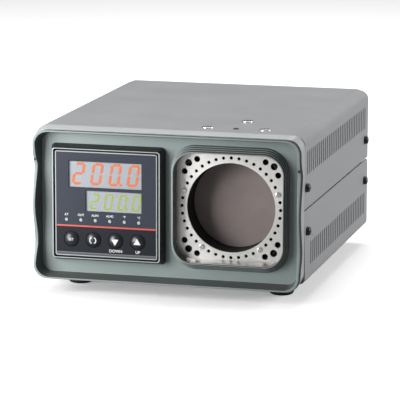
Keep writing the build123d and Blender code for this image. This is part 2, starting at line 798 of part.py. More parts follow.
with BuildPart() as fan_rotor:
    rotor_front = fan_front + 1
    with BuildSketch(facing_front(rotor_front + 13, target_x, target_z)):
        Circle(13.5)
    extrude(amount=13)
    with BuildSketch(facing_front(rotor_front + 13, target_x, target_z)):
        Circle(11)
    extrude(amount=11.5, mode=Mode.SUBTRACT)
    with BuildSketch(facing_front(rotor_front + 14, target_x, target_z)):
        Circle(1.5)
    extrude(amount=13)
    for turn in range(7):
        bearing = radians(turn * 360 / 7)
        blade_root = Plane(
            origin=(target_x, lip_y + rotor_front + 6.5, target_z),
            x_dir=(0, -1, 0),
            z_dir=(cos(bearing), 0, sin(bearing)),
        )
        with BuildSketch(blade_root):
            Rectangle(14, 1.3, rotation=38)
        extrude(amount=27.6)
    with BuildSketch(facing_front(rotor_front + 13, target_x, target_z)):
        Circle(10.9)
        Circle(1.5, mode=Mode.SUBTRACT)
    extrude(amount=11.5, mode=Mode.SUBTRACT)
fan_rotor.part.label = "fan_rotor"
export_step(fan_rotor.part, "parts/fan_rotor.step")

guard_wire = 1.6
with BuildPart() as fan_guard:
    with BuildSketch(facing_front(rear_face + 0.1 + guard_wire, target_x, target_z)):
        for ring_radius in (28.5, 21.5, 14.5, 7.5):
            Circle(ring_radius + guard_wire / 2)
            Circle(ring_radius - guard_wire / 2, mode=Mode.SUBTRACT)
        Rectangle(fan_screw_pitch * 2**0.5, guard_wire, rotation=45)
        Rectangle(fan_screw_pitch * 2**0.5, guard_wire, rotation=-45)
        with GridLocations(fan_screw_pitch, fan_screw_pitch, 2, 2):
            Circle(3.6)
            Circle(2.1, mode=Mode.SUBTRACT)
    extrude(amount=guard_wire)
fan_guard.part.label = "fan_guard"
export_step(fan_guard.part, "parts/fan_guard.step")

with BuildPart() as fan_screws:
    for screw_x in (-fan_screw_pitch / 2, fan_screw_pitch / 2):
        for screw_z in (-fan_screw_pitch / 2, fan_screw_pitch / 2):
            head_seat = rear_face + guard_wire + 0.2
            with BuildSketch(facing_front(head_seat + 2.4, target_x + screw_x, target_z + screw_z)):
                Circle(3.4)
            extrude(amount=2.4)
            with BuildSketch(facing_front(head_seat, target_x + screw_x, target_z + screw_z)):
                Circle(1.9)
            extrude(amount=head_seat - fan_front)
fan_screws.part.label = "fan_screws"
export_step(fan_screws.part, "parts/fan_screws.step")

flange_back = rear_face + 0.1
flange_front = rear_face + 3.1
socket_z = inlet_z - 5.6
drawer_z = inlet_z + 10.2
with BuildPart() as mains_inlet:
    with BuildSketch(facing_front(flange_front, inlet_x, inlet_z)):
        RectangleRounded(50, 35, 5)
        with GridLocations(40, 1, 2, 1):
            Circle(1.7, mode=Mode.SUBTRACT)
    extrude(amount=3)
    with BuildSketch(facing_front(flange_back, inlet_x, inlet_z)):
        Rectangle(28, 31)
    extrude(amount=24)
    with BuildSketch(facing_front(flange_front + 1, inlet_x, socket_z)) as socket:
        Rectangle(24.4, 16.6)
        chamfer(socket.vertices().group_by(Axis.Y)[-1], 4)
    extrude(amount=18, mode=Mode.SUBTRACT)
    with BuildSketch(facing_front(flange_front + 1, inlet_x, drawer_z)):
        Rectangle(24, 8.4)
    extrude(amount=22, mode=Mode.SUBTRACT)
mains_inlet.part.label = "mains_inlet"
export_step(mains_inlet.part, "parts/mains_inlet.step")

with BuildPart() as inlet_pins:
    for pin_x, pin_z in ((-7, -1.5), (7, -1.5), (0, 2.5)):
        with BuildSketch(facing_front(flange_front - 5, inlet_x + pin_x, socket_z + pin_z)):
            Rectangle(2, 4)
        extrude(amount=11.9)
inlet_pins.part.label = "inlet_pins"
export_step(inlet_pins.part, "parts/inlet_pins.step")

with BuildPart() as fuse_drawer:
    with BuildSketch(facing_front(flange_front + 1.6, inlet_x, drawer_z)):
        RectangleRounded(26, 9.6, 1)
    extrude(amount=1.3)
    with BuildSketch(facing_front(flange_front + 0.3, inlet_x, drawer_z)):
        Rectangle(23.4, 7.8)
    extrude(amount=19)
    with BuildSketch(Plane.XY.offset(drawer_z + 5)):
        with Locations((inlet_x, lip_y + flange_front - 9)):
            Rectangle(20.6, 5.6)
    extrude(amount=-7, mode=Mode.SUBTRACT)
fuse_drawer.part.label = "fuse_drawer"
export_step(fuse_drawer.part, "parts/fuse_drawer.step")

with BuildPart() as switch_body:
    with BuildSketch(facing_front(flange_front - 1.2, switch_x, inlet_z)):
        RectangleRounded(15, 21, 1)
    extrude(amount=1.8)
    with BuildSketch(facing_front(flange_back, switch_x, inlet_z)):
        Rectangle(12.8, 19)
    extrude(amount=18)
    with BuildSketch(facing_front(flange_front, switch_x, inlet_z)):
        Rectangle(10.8, 17.4)
    extrude(amount=13.4, mode=Mode.SUBTRACT)
switch_body.part.label = "switch_body"
export_step(switch_body.part, "parts/switch_body.step")

# the rocker is a round drum with two flats, stored with its upper half pressed in
with BuildPart() as power_rocker:
    rocker_face = 3.0
    splay = rocker_face + 12 * tan(radians(rocker_swing))
    with BuildSketch(facing_side(switch_x, rocker_pivot, inlet_z)):
        Circle(8.3)
        with BuildLine():
            Polyline((rocker_face, 0), (rocker_face, 12), (20, 12), (20, -12), (splay, -12), close=True)
        make_face(mode=Mode.SUBTRACT)
    extrude(amount=5.1, both=True)
power_rocker.part.label = "power_rocker"
export_step(power_rocker.part, "parts/power_rocker.step")
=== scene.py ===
from math import cos, pi, radians, sin

import bpy
from mathutils import Matrix, Quaternion, Vector


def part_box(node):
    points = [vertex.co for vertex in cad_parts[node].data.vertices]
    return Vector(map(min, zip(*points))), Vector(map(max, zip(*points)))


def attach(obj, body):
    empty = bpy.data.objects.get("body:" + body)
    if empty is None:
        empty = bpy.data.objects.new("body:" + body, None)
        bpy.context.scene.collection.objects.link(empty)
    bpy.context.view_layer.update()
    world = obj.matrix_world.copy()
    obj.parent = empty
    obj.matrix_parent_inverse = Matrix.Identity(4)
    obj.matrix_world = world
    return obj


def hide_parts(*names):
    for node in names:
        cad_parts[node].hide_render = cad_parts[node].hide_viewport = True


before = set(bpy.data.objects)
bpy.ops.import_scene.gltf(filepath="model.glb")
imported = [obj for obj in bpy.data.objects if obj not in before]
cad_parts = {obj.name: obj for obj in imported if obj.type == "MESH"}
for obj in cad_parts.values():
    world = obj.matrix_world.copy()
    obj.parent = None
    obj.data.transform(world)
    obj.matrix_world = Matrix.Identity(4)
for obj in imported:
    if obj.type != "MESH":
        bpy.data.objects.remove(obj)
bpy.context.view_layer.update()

# ---- camera ----
# A long lens, a little above the case and to its right, level with the front.
azimuth = radians(14.74)
elevation = radians(10.88)
roll = radians(0.12)
back = Vector((sin(azimuth) * cos(elevation), -cos(azimuth) * cos(elevation), sin(elevation)))
bpy.ops.object.camera_add(location=(0.4411, -1.6947, 0.3814))
camera = bpy.context.object
camera.rotation_euler = ((-back).to_track_quat("-Z", "Y") @ Quaternion((0, 0, 1), roll)).to_euler()
camera.data.sensor_width = 36
camera.data.lens = 241.15
bpy.context.scene.camera = camera

# ---- studio ----
# A white table that runs out of sight, a soft box close by on the front left, one overhead and behind,
# and one to the right and behind, so that the recess in the front stays in shade.
bpy.context.scene.view_settings.view_transform = "Standard"
bpy.ops.mesh.primitive_plane_add(size=12)
table_top = bpy.context.object
table_top.name = "table_top"
table_paint = bpy.data.materials.new("white_table")
table_paint.use_nodes = True
table_nodes, table_links = table_paint.node_tree.nodes, table_paint.node_tree.links
white_top = table_nodes["Principled BSDF"]
white_top.inputs["Base Color"].default_value = (0.93, 0.93, 0.93, 1)
white_top.inputs["Roughness"].default_value = 0.9
white_top.inputs["Emission Color"].default_value = (1, 1, 1, 1)
white_top.inputs["Emission Strength"].default_value = 0.3
dim_top = table_nodes.new("ShaderNodeBsdfDiffuse")
dim_top.inputs["Color"].default_value = (0.3, 0.3, 0.3, 1)
table_ray = table_nodes.new("ShaderNodeLightPath")
table_mix = table_nodes.new("ShaderNodeMixShader")
table_links.new(table_ray.outputs["Is Camera Ray"], table_mix.inputs[0])
table_links.new(dim_top.outputs[0], table_mix.inputs[1])
table_links.new(white_top.outputs[0], table_mix.inputs[2])
table_links.new(table_mix.outputs[0], table_nodes["Material Output"].inputs["Surface"])
table_top.data.materials.append(table_paint)

for box_name, place, width, power in (
    ("left_box", (-0.31, -0.36, 0.13), 0.28, 3.1),
    ("overhead_box", (-0.25, 0.55, 1.5), 1.3, 24),
    ("right_box", (1.35, 0.5, 0.55), 0.8, 18),
):
    bpy.ops.object.light_add(type="AREA", location=place)
    soft_box = bpy.context.object
    soft_box.name = box_name
    soft_box.data.size = width
    soft_box.data.energy = power
    soft_box.rotation_euler = (Vector((0, 0, 0.05)) - Vector(place)).to_track_quat("-Z", "Y").to_euler()

studio = bpy.data.worlds.new("studio")
bpy.context.scene.world = studio
studio.use_nodes = True
air = studio.node_tree
dim_air = air.nodes["Background"]
dim_air.inputs["Color"].default_value = (1, 1, 1, 1)
dim_air.inputs["Strength"].default_value = 0.15
white_air = air.nodes.new("ShaderNodeBackground")
white_air.inputs["Color"].default_value = (1, 1, 1, 1)
which_ray = air.nodes.new("ShaderNodeLightPath")
air_mix = air.nodes.new("ShaderNodeMixShader")
air.links.new(which_ray.outputs["Is Camera Ray"], air_mix.inputs[0])
air.links.new(dim_air.outputs[0], air_mix.inputs[1])
air.links.new(white_air.outputs[0], air_mix.inputs[2])
air.links.new(air_mix.outputs[0], air.nodes["World Output"].inputs["Surface"])

# ---- front bezel ----
# One moulding in grey-green plastic: the proud lip with its wavy sides, the sloping recess walls,
# the panel and the ridged collar round the target. Its edges are eased as a mould leaves them.


def textured(name, colour, roughness, grain, depth, spread, patch=0.03, metallic=0.0, stretch=(1, 1, 1)):
    """A finish with a fine grain in relief, and a slow drift of colour and gloss over it."""
    finish = bpy.data.materials.new(name)
    finish.use_nodes = True
    nodes, links = finish.node_tree.nodes, finish.node_tree.links
    shader = nodes["Principled BSDF"]
    shader.inputs["Metallic"].default_value = metallic
    place = nodes.new("ShaderNodeTexCoord")
    run = nodes.new("ShaderNodeMapping")
    run.inputs["Scale"].default_value = stretch
    links.new(place.outputs["Object"], run.inputs["Vector"])
    fine = nodes.new("ShaderNodeTexNoise")
    fine.inputs["Scale"].default_value = 1 / grain
    fine.inputs["Detail"].default_value = 3
    links.new(run.outputs["Vector"], fine.inputs["Vector"])
    relief = nodes.new("ShaderNodeBump")
    relief.inputs["Distance"].default_value = depth
    relief.inputs["Strength"].default_value = 0.6
    links.new(fine.outputs["Fac"], relief.inputs["Height"])
    links.new(relief.outputs["Normal"], shader.inputs["Normal"])
    slow = nodes.new("ShaderNodeTexNoise")
    slow.inputs["Scale"].default_value = 1 / patch
    slow.inputs["Detail"].default_value = 4
    links.new(place.outputs["Object"], slow.inputs["Vector"])
    blended = nodes.new("ShaderNodeMath")
    blended.operation = "MULTIPLY_ADD"
    blended.inputs[1].default_value = 0.35
    links.new(fine.outputs["Fac"], blended.inputs[0])
    links.new(slow.outputs["Fac"], blended.inputs[2])
    tones = nodes.new("ShaderNodeValToRGB")
    tones.color_ramp.elements[0].position = 0.4
    tones.color_ramp.elements[0].color = (*(c * (1 - spread) for c in colour), 1)
    tones.color_ramp.elements[1].position = 0.95
    tones.color_ramp.elements[1].color = (*(c * (1 + spread) for c in colour), 1)
    links.new(blended.outputs[0], tones.inputs["Fac"])
    links.new(tones.outputs["Color"], shader.inputs["Base Color"])
    gloss = nodes.new("ShaderNodeMapRange")
    gloss.inputs["To Min"].default_value = max(0.02, roughness - 0.07)
    gloss.inputs["To Max"].default_value = min(1.0, roughness + 0.07)
    links.new(slow.outputs["Fac"], gloss.inputs["Value"])
    links.new(gloss.outputs["Result"], shader.inputs["Roughness"])
    return finish


def eased(node, name, edge, finish, body="case", sharp=28, steps=2, cuts=()):
    """The CAD piece again with its sharp edges rounded over, dressed, riding, and standing for its node.
    Upright cuts through its large holes keep each flat face in simple pieces."""
    bpy.ops.object.select_all(action="DESELECT")
    piece = bpy.data.objects.new(name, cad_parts[node].data.copy())
    bpy.context.collection.objects.link(piece)
    bpy.context.view_layer.objects.active = piece
    piece.select_set(True)
    bpy.ops.mesh.customdata_custom_splitnormals_clear()
    bpy.ops.object.mode_set(mode="EDIT")
    bpy.ops.mesh.select_all(action="SELECT")
    bpy.ops.mesh.remove_doubles(threshold=2e-6)
    bpy.ops.mesh.mark_sharp(clear=True)
    for across in cuts:
        bpy.ops.mesh.select_all(action="SELECT")
        bpy.ops.mesh.bisect(plane_co=(across, 0, 0), plane_no=(1, 0, 0))
        bpy.ops.mesh.mark_seam(clear=False)
    bpy.ops.mesh.select_all(action="SELECT")
    bpy.ops.mesh.dissolve_limited(angle_limit=radians(0.4), delimit={"SEAM"})
    bpy.ops.object.mode_set(mode="OBJECT")
    rounding = piece.modifiers.new("rounding", "BEVEL")
    rounding.width = edge
    rounding.segments = steps
    rounding.limit_method = "ANGLE"
    rounding.angle_limit = radians(sharp)
    rounding.use_clamp_overlap = False
    rounding.miter_outer = "MITER_ARC"
    bpy.ops.object.modifier_apply(modifier="rounding")
    bpy.ops.object.shade_smooth_by_angle(angle=radians(40))
    shading = piece.modifiers.new("shading", "WEIGHTED_NORMAL")
    shading.keep_sharp = True
    bpy.ops.object.modifier_apply(modifier="shading")
    piece.data.materials.clear()
    piece.data.materials.append(finish)
    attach(piece, body)
    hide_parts(node)
    return piece


def dress(finish, *nodes):
    """Gives CAD pieces, which keep their shape, their finish."""
    for node in nodes:
        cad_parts[node].material_slots[0].material = finish


grey_green = textured("grey_green_moulding", (0.215, 0.262, 0.255), 0.42, 0.0009, 0.00004, 0.06)
hole_middles = [sum(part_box(node), Vector()).x / 2 for node in ("perforated_plate", "controller_insert")]
bezel = eased("front_bezel", "bezel_moulding", 0.0003, grey_green, steps=3, cuts=hole_middles)

# painted shade: the steep walls of the recess and of the collar are painted darker and rougher for the shade
# deep in the recess, and the outer flank of the lip, against the seal, is painted black for the shade in the
# groove
recess_wall_shade = textured("recess_wall_painted_shade", (0.072, 0.079, 0.078), 0.55, 0.0006, 0.00006, 0.15)
bezel.data.materials.append(recess_wall_shade)
lip_flank_shade = textured("lip_flank_painted_shade", (0.014, 0.015, 0.015), 0.6, 0.0006, 0.00003, 0.2)
bezel.data.materials.append(lip_flank_shade)
lip_low, lip_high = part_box("front_bezel")
neck = 0.0013
steep = 0.72
full_front = -0.9
# steep faces inside the lip take the dark painted shade; the lip's outer flank faces take the black painted
# shade
for side in bezel.data.polygons:
    inside_across = abs(side.center.x) < lip_high.x - neck
    inside = inside_across and lip_low.z + neck < side.center.z < lip_high.z - neck
    if inside and abs(side.normal.y) < steep:
        side.material_index = 1
    elif not inside and side.normal.y > full_front:
        side.material_index = 2

# ---- seal and front frame ----
# A black rubber seal sits in the groove behind the lip. Behind it comes a pressed steel band, painted a
# paler grey than the covers as a painted highlight, which swells out to the size of the covers.
# the seal's black is partly the rubber's own and partly painted shade down in the groove
black_rubber = textured("black_rubber", (0.012, 0.012, 0.012), 0.62, 0.0005, 0.00003, 0.25)
dress(black_rubber, "front_gasket")
# painted highlight: the band's paint is paler than the case paint, for the light its top catches
band_highlight_paint = textured("band_painted_highlight", (0.40, 0.415, 0.42), 0.34, 0.0007, 0.00002, 0.04)
band = eased("front_frame", "front_band", 0.0003, band_highlight_paint)

# ---- covers ----
# Two bent steel covers with pressed vent slots, one over the other, painted a mid grey with the fine
# orange-peel of a stoved satin finish.
case_paint = textured("case_paint", (0.305, 0.312, 0.318), 0.40, 0.0008, 0.00003, 0.035)
for half in ("upper", "lower"):
    shell = eased(f"{half}_cover", f"{half}_cover_shell", 0.0002, case_paint, sharp=18)
# the chassis is near-black partly as its own paint and partly as painted shade, so the gap under the lower
# cover's front edge and the view through the slots and seam read dark
black_paint_and_shade = textured("black_chassis_paint_and_shade", (0.018, 0.018, 0.019), 0.45, 0.0006, 0.00002, 0.2)
dress(black_paint_and_shade, "chassis_ring", "chassis_tray", "side_rail_left", "side_rail_right")

# ---- screws of the case ----
# Black pan-head screws, four a side, hold the covers. Three bright raised-head screws on top hold the
# heater's bracket. Each head is domed, with a cross recess.


def screw(head_radius, head_height, shank_radius, shank_length, recess):
    """A cross-recess screw that stands up from the origin, with its shank below; later it is copied."""
    bpy.ops.object.select_all(action="DESELECT")
    bpy.ops.mesh.primitive_cylinder_add(
        vertices=40, radius=head_radius, depth=head_height, location=(0, 0, head_height / 2)
    )
    head = bpy.context.object
    bpy.ops.object.transform_apply(location=True, rotation=False, scale=False)
    bpy.ops.object.mode_set(mode="EDIT")
    bpy.ops.mesh.select_mode(type="FACE")
    bpy.ops.mesh.select_all(action="DESELECT")
    bpy.ops.object.mode_set(mode="OBJECT")
    for face in head.data.polygons:
        face.select = face.normal.z > 0.9
    bpy.ops.object.mode_set(mode="EDIT")
    bpy.ops.mesh.bevel(offset=head_height * 0.55, segments=5, profile=0.5)
    bpy.ops.mesh.select_all(action="DESELECT")
    bpy.ops.object.mode_set(mode="OBJECT")
    for face in head.data.polygons:
        face.select = face.normal.z < -0.9
    bpy.ops.object.mode_set(mode="EDIT")
    bpy.ops.mesh.inset(thickness=head_radius - shank_radius)
    bpy.ops.mesh.extrude_region_move(TRANSFORM_OT_translate={"value": (0, 0, -shank_length)})
    bpy.ops.object.mode_set(mode="OBJECT")
    for turn in (0, pi / 2):
        bpy.ops.mesh.primitive_cube_add(size=1, location=(0, 0, head_height))
        wing = bpy.context.object
        wing.scale = (head_radius * recess, head_radius * 0.24, head_height * 0.9)
        wing.rotation_euler.z = turn
        cut = head.modifiers.new("cross", "BOOLEAN")
        cut.operation = "DIFFERENCE"
        cut.object = wing
        cut.solver = "EXACT"
        bpy.context.view_layer.objects.active = head
        bpy.ops.object.modifier_apply(modifier="cross")
        bpy.data.objects.remove(wing)
    bpy.context.view_layer.objects.active = head
    head.select_set(True)
    bpy.ops.object.shade_smooth_by_angle(angle=radians(35))
    return head


def placed(master, name, where, finish, slot, *nodes, body="case"):
    """A copy of a modelled piece with its own mesh, put in its place, dressed and riding."""
    piece = bpy.data.objects.new(name, master.data.copy())
    bpy.context.collection.objects.link(piece)
    piece.data.transform(where)
    piece.data.materials.clear()
    piece.data.materials.append(finish)
    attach(piece, body)
    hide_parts(*nodes)
    return piece


def solids_of(node):
    """The boxes of the separate solids in a CAD node, as (lowest, highest) corners."""
    points = [v.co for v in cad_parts[node].data.vertices]
    group = {}

    def root(key):
        while group[key] != key:
            group[key] = group[group[key]]
            key = group[key]
        return key

    keys = [tuple(round(c, 6) for c in p) for p in points]
    for key in keys:
        group.setdefault(key, key)
    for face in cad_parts[node].data.polygons:
        first, *others = (root(keys[i]) for i in face.vertices)
        for other in others:
            group[root(other)] = root(first)
    found = {}
    for key, point in zip(keys, points):
        found.setdefault(root(key), []).append(point)
    return sorted(
        (
            tuple(min(p[i] for p in solid) for i in range(3)),
            tuple(max(p[i] for p in solid) for i in range(3)),
        )
        for solid in found.values()
    )


to_right = Matrix.Rotation(pi / 2, 4, "Y")
to_left = Matrix.Rotation(-pi / 2, 4, "Y")
to_front = Matrix.Rotation(pi / 2, 4, "X")
to_rear = Matrix.Rotation(-pi / 2, 4, "X")

case_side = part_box("upper_cover")[1].x
black_screw = textured("black_oxide_screw", (0.012, 0.012, 0.013), 0.34, 0.0004, 0.00001, 0.2)
side_head = screw(0.0028, 0.0026, 0.0015, 0.0038, 1.15)
for number, (low, high) in enumerate(solids_of("cover_screws"), 1):
    right = high[0] > 0
    seat = Vector((case_side if right else -case_side, (low[1] + high[1]) / 2, (low[2] + high[2]) / 2))
    where = Matrix.Translation(seat) @ (to_right if right else to_left) @ Matrix.Rotation(number, 4, "Z")
    placed(side_head, f"cover_screw_{number}", where, black_screw, "black_steel", "cover_screws")
bpy.data.objects.remove(side_head)

bright_metal = textured("bright_nickel", (0.80, 0.80, 0.79), 0.22, 0.0004, 0.00001, 0.05, metallic=1.0)
case_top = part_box("upper_cover")[1].z
top_head = screw(0.0036, 0.0006, 0.0019, 0.004, 0.55)
for number, (low, high) in enumerate(solids_of("top_screws"), 1):
    seat = Vector(((low[0] + high[0]) / 2, (low[1] + high[1]) / 2, case_top))
    where = Matrix.Translation(seat) @ Matrix.Rotation(number, 4, "Z")
    placed(top_head, f"top_screw_{number}", where, bright_metal, "bright_screw", "top_screws")
bpy.data.objects.remove(top_head)

# ---- top bush and feet ----
# A small black bush fills the hole beside the top screws. The feet are turned rubber buffers with a
# rounded tread, each held up into the tray by a screw in its well.
black_plastic = textured("black_satin_plastic", (0.014, 0.014, 0.015), 0.38, 0.0006, 0.00003, 0.2)
bush = eased("top_plug", "top_bush", 0.00025, black_plastic)
for corner in ("front_left", "front_right", "rear_left", "rear_right"):
    foot = eased(f"foot_{corner}", f"rubber_foot_{corner}", 0.0004, black_rubber)
zinc = textured("zinc_plate", (0.52, 0.52, 0.50), 0.38, 0.0012, 0.00002, 0.12, metallic=1.0)
dress(zinc, "foot_screws")

# ---- controller housing ----
# A black moulded case that flares out against the panel. Its front rim and the tray behind it are painted
# light as two fine lines, painted highlights of their rounded edges, with a dark groove between them.
housing_plastic = textured("housing_plastic", (0.024, 0.026, 0.027), 0.46, 0.0007, 0.00003, 0.15)
housing = eased("controller_case", "controller_housing", 0.0003, housing_plastic)
rim_plastic = textured("rim_plastic", (0.40, 0.43, 0.42), 0.34, 0.0006, 0.00002, 0.05)
rim = eased("controller_rim", "controller_rim_line", 0.00012, rim_plastic)
# only its front is painted light, a painted highlight on the black case's rounded rim: its walls, like the
# groove's, are black
rim.data.materials.append(housing_plastic)
looks_forward = -0.6
for side in rim.data.polygons:
    side.material_index = 0 if side.normal.y < looks_forward else 1

# ---- controller face ----
# The face plate carries a printed film: dark blue-grey above the red rule, nearly black below it,
# with the edge of the plate painted light all round as a painted highlight of its bevel, and a light line
# along the foot.


def face_film(centre_x, centre_z, half_width, half_height, rule_z, foot_z):
    film = textured("printed_face_film", (0.036, 0.041, 0.056), 0.5, 0.0005, 0.00001, 0.10)
    nodes, links = film.node_tree.nodes, film.node_tree.links
    shader = nodes["Principled BSDF"]
    shader.inputs["Specular IOR Level"].default_value = 0.15
    printed = shader.inputs["Base Color"].links[0].from_socket
    place = nodes.new("ShaderNodeTexCoord")
    split = nodes.new("ShaderNodeSeparateXYZ")
    links.new(place.outputs["Object"], split.inputs[0])

    def beyond(socket, middle, half):
        away = nodes.new("ShaderNodeMath")
        away.operation = "SUBTRACT"
        away.inputs[1].default_value = middle
        links.new(split.outputs[socket], away.inputs[0])
        size = nodes.new("ShaderNodeMath")
        size.operation = "ABSOLUTE"
        links.new(away.outputs[0], size.inputs[0])
        past = nodes.new("ShaderNodeMath")
        past.operation = "GREATER_THAN"
        past.inputs[1].default_value = half
        links.new(size.outputs[0], past.inputs[0])
        return past.outputs[0]

    def under(height):
        below = nodes.new("ShaderNodeMath")
        below.operation = "LESS_THAN"
        below.inputs[1].default_value = height
        links.new(split.outputs["Z"], below.inputs[0])
        return below.outputs[0]

    def mixed(mask, first, second):
        mix = nodes.new("ShaderNodeMix")
        mix.data_type = "RGBA"
        links.new(mask, mix.inputs["Factor"])
        links.new(first, mix.inputs["A"])
        if isinstance(second, tuple):
            mix.inputs["B"].default_value = second
        else:
            links.new(second, mix.inputs["B"])
        return mix.outputs["Result"]

    foot_line = 0.0006
    edge_highlight_width = 0.0007
    ink = mixed(under(rule_z), printed, (0.014, 0.016, 0.021, 1))
    ink = mixed(under(foot_z), ink, (0.15, 0.16, 0.17, 1))
    ink = mixed(under(foot_z - foot_line), ink, (0.085, 0.09, 0.10, 1))
    # painted highlight: a light band round the plate's edge, standing in for the light on its bevel
    for socket, middle, half in (("X", centre_x, half_width), ("Z", centre_z, half_height)):
        ink = mixed(beyond(socket, middle, half - edge_highlight_width), ink, (0.36, 0.39, 0.40, 1))
    links.new(ink, shader.inputs["Base Color"])
    return film


plate_low, plate_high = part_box("controller_insert")
plate_middle = (plate_low + plate_high) / 2
face_y = plate_low.y
half_plate = (plate_high - plate_low) / 2
rule_drop = 0.0143
foot_drop = 0.0313
rule_z = plate_middle.z - rule_drop
foot_z = plate_middle.z - foot_drop
film = face_film(plate_middle.x, plate_middle.z, half_plate.x, half_plate.z, rule_z, foot_z)
face = eased("controller_insert", "controller_face", 0.0002, film)
# the plate's side walls take the case's black as painted shade for the groove round the plate
face.data.materials.append(housing_plastic)
for side in face.data.polygons:
    side.material_index = 0 if side.normal.y < looks_forward else 1

# the red rule is a raised line of ink across the film
red_ink = textured("red_ink", (0.58, 0.085, 0.07), 0.35, 0.0005, 0.00001, 0.08)
bpy.ops.object.select_all(action="DESELECT")
bpy.ops.mesh.primitive_cube_add(size=1, location=(plate_middle.x, face_y, rule_z))
rule = bpy.context.object
rule.name = "red_rule"
rule_inset, rule_rise, rule_width = 0.0020, 0.00012, 0.0010
rule.scale = (2 * half_plate.x - rule_inset, rule_rise, rule_width)
bpy.ops.object.transform_apply(location=True, rotation=False, scale=True)
bpy.ops.object.mode_set(mode="EDIT")
bpy.ops.mesh.select_all(action="SELECT")
bpy.ops.mesh.bevel(offset=0.00003, segments=2)
bpy.ops.object.mode_set(mode="OBJECT")
rule.data.materials.append(red_ink)
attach(rule, "case")

# ---- displays ----
# Two grey display blocks behind clear windows. The digits are leaning seven-bar figures, lit orange
# for the measured value and yellow-green for the set value.
lit_bars = {"2": "abged", "0": "abcdef"}
bar_thickness = 0.00006


def lit(name, colour, strength):
    glow = bpy.data.materials.new(name)
    glow.use_nodes = True
    shader = glow.node_tree.nodes["Principled BSDF"]
    place = glow.node_tree.nodes.new("ShaderNodeTexCoord")
    speckle = glow.node_tree.nodes.new("ShaderNodeTexNoise")
    speckle.inputs["Scale"].default_value = 900
    tones = glow.node_tree.nodes.new("ShaderNodeValToRGB")
    tones.color_ramp.elements[0].color = (*(c * 0.86 for c in colour), 1)
    tones.color_ramp.elements[1].color = (*colour, 1)
    glow.node_tree.links.new(place.outputs["Object"], speckle.inputs["Vector"])
    glow.node_tree.links.new(speckle.outputs["Fac"], tones.inputs["Fac"])
    glow.node_tree.links.new(tones.outputs["Color"], shader.inputs["Emission Color"])
    shader.inputs["Emission Strength"].default_value = strength
    shader.inputs["Base Color"].default_value = (*(c * 0.1 for c in colour), 1)
    shader.inputs["Roughness"].default_value = 0.5
    return glow


def bar(length, stroke):
    """One bar of a figure, lying along X: a flat block drawn out to a point at each end."""
    bpy.ops.object.select_all(action="DESELECT")
    bpy.ops.mesh.primitive_cube_add(size=1)
    block = bpy.context.object
    block.scale = (length - stroke, stroke, bar_thickness)
    bpy.ops.object.transform_apply(location=False, rotation=False, scale=True)
    for way in (-1, 1):
        bpy.ops.object.mode_set(mode="EDIT")
        bpy.ops.mesh.select_mode(type="FACE")
        bpy.ops.mesh.select_all(action="DESELECT")
        bpy.ops.object.mode_set(mode="OBJECT")
        for side in block.data.polygons:
            side.select = side.normal.x * way > 0.9
        bpy.ops.object.mode_set(mode="EDIT")
        bpy.ops.mesh.extrude_region_move(TRANSFORM_OT_translate={"value": (way * stroke * 0.42, 0, 0)})
        bpy.ops.transform.resize(value=(1, 0.16, 1))
    bpy.ops.object.mode_set(mode="OBJECT")
    return block


def figures(name, window, digit_share, first_share, rise_share, glow):
    """The lit figures 200.0 on a display, sized from its window."""
    low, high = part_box(window)
    width, height = high.x - low.x, high.z - low.z
    tall = height * digit_share
    stroke = width * 0.036
    lean = 0.17
    wide = width * 0.204 - lean * tall
    half = (tall - stroke) / 2
    across = bar(wide - stroke * 1.12, stroke)
    upright = bar(half - stroke * 0.12, stroke)
    bars = {
        "a": (across, 0, 2 * half, 0),
        "g": (across, 0, half, 0),
        "d": (across, 0, 0, 0),
        "f": (upright, -(wide - stroke) / 2, 1.5 * half, pi / 2),
        "b": (upright, (wide - stroke) / 2, 1.5 * half, pi / 2),
        "e": (upright, -(wide - stroke) / 2, 0.5 * half, pi / 2),
        "c": (upright, (wide - stroke) / 2, 0.5 * half, pi / 2),
    }
    slanted = Matrix(((1, lean, 0, 0), (0, 1, 0, 0), (0, 0, 1, 0), (0, 0, 0, 1)))
    display_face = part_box(window.replace("window", "display"))[0].y
    foot = low.z + height * rise_share
    parts = []
    for place, figure in enumerate("2000"):
        start = low.x + width * (first_share + 0.2515 * place) + wide / 2
        to_place = Matrix.Translation((start, display_face - 0.00003, foot + stroke / 2)) @ to_front
        for letter in lit_bars[figure]:
            source, x, z, turn = bars[letter]
            copy = bpy.data.objects.new(f"{name}_{place}_{letter}", source.data.copy())
            bpy.context.collection.objects.link(copy)
            copy.data.transform(Matrix.Translation((x, z, 0)) @ Matrix.Rotation(turn, 4, "Z"))
            copy.data.transform(to_place @ slanted)
            parts.append(copy)
        if place == 2:
            bpy.ops.object.select_all(action="DESELECT")
            bpy.ops.mesh.primitive_cylinder_add(vertices=20, radius=stroke * 0.55, depth=bar_thickness)
            dot = bpy.context.object
            bpy.ops.object.mode_set(mode="EDIT")
            bpy.ops.mesh.select_all(action="SELECT")
            bpy.ops.mesh.bevel(offset=0.00002, segments=1)
            bpy.ops.object.mode_set(mode="OBJECT")
            dot.data.transform(to_place @ Matrix.Translation((wide / 2 + stroke * 0.6, 0, 0)))
            parts.append(dot)
    for source in (across, upright):
        bpy.data.objects.remove(source)
    bpy.ops.object.select_all(action="DESELECT")
    for part in parts:
        part.select_set(True)
    bpy.context.view_layer.objects.active = parts[0]
    bpy.ops.object.join()
    digits = bpy.context.object
    digits.name = name
    digits.data.materials.clear()
    digits.data.materials.append(glow)
    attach(digits, "case")
    return digits


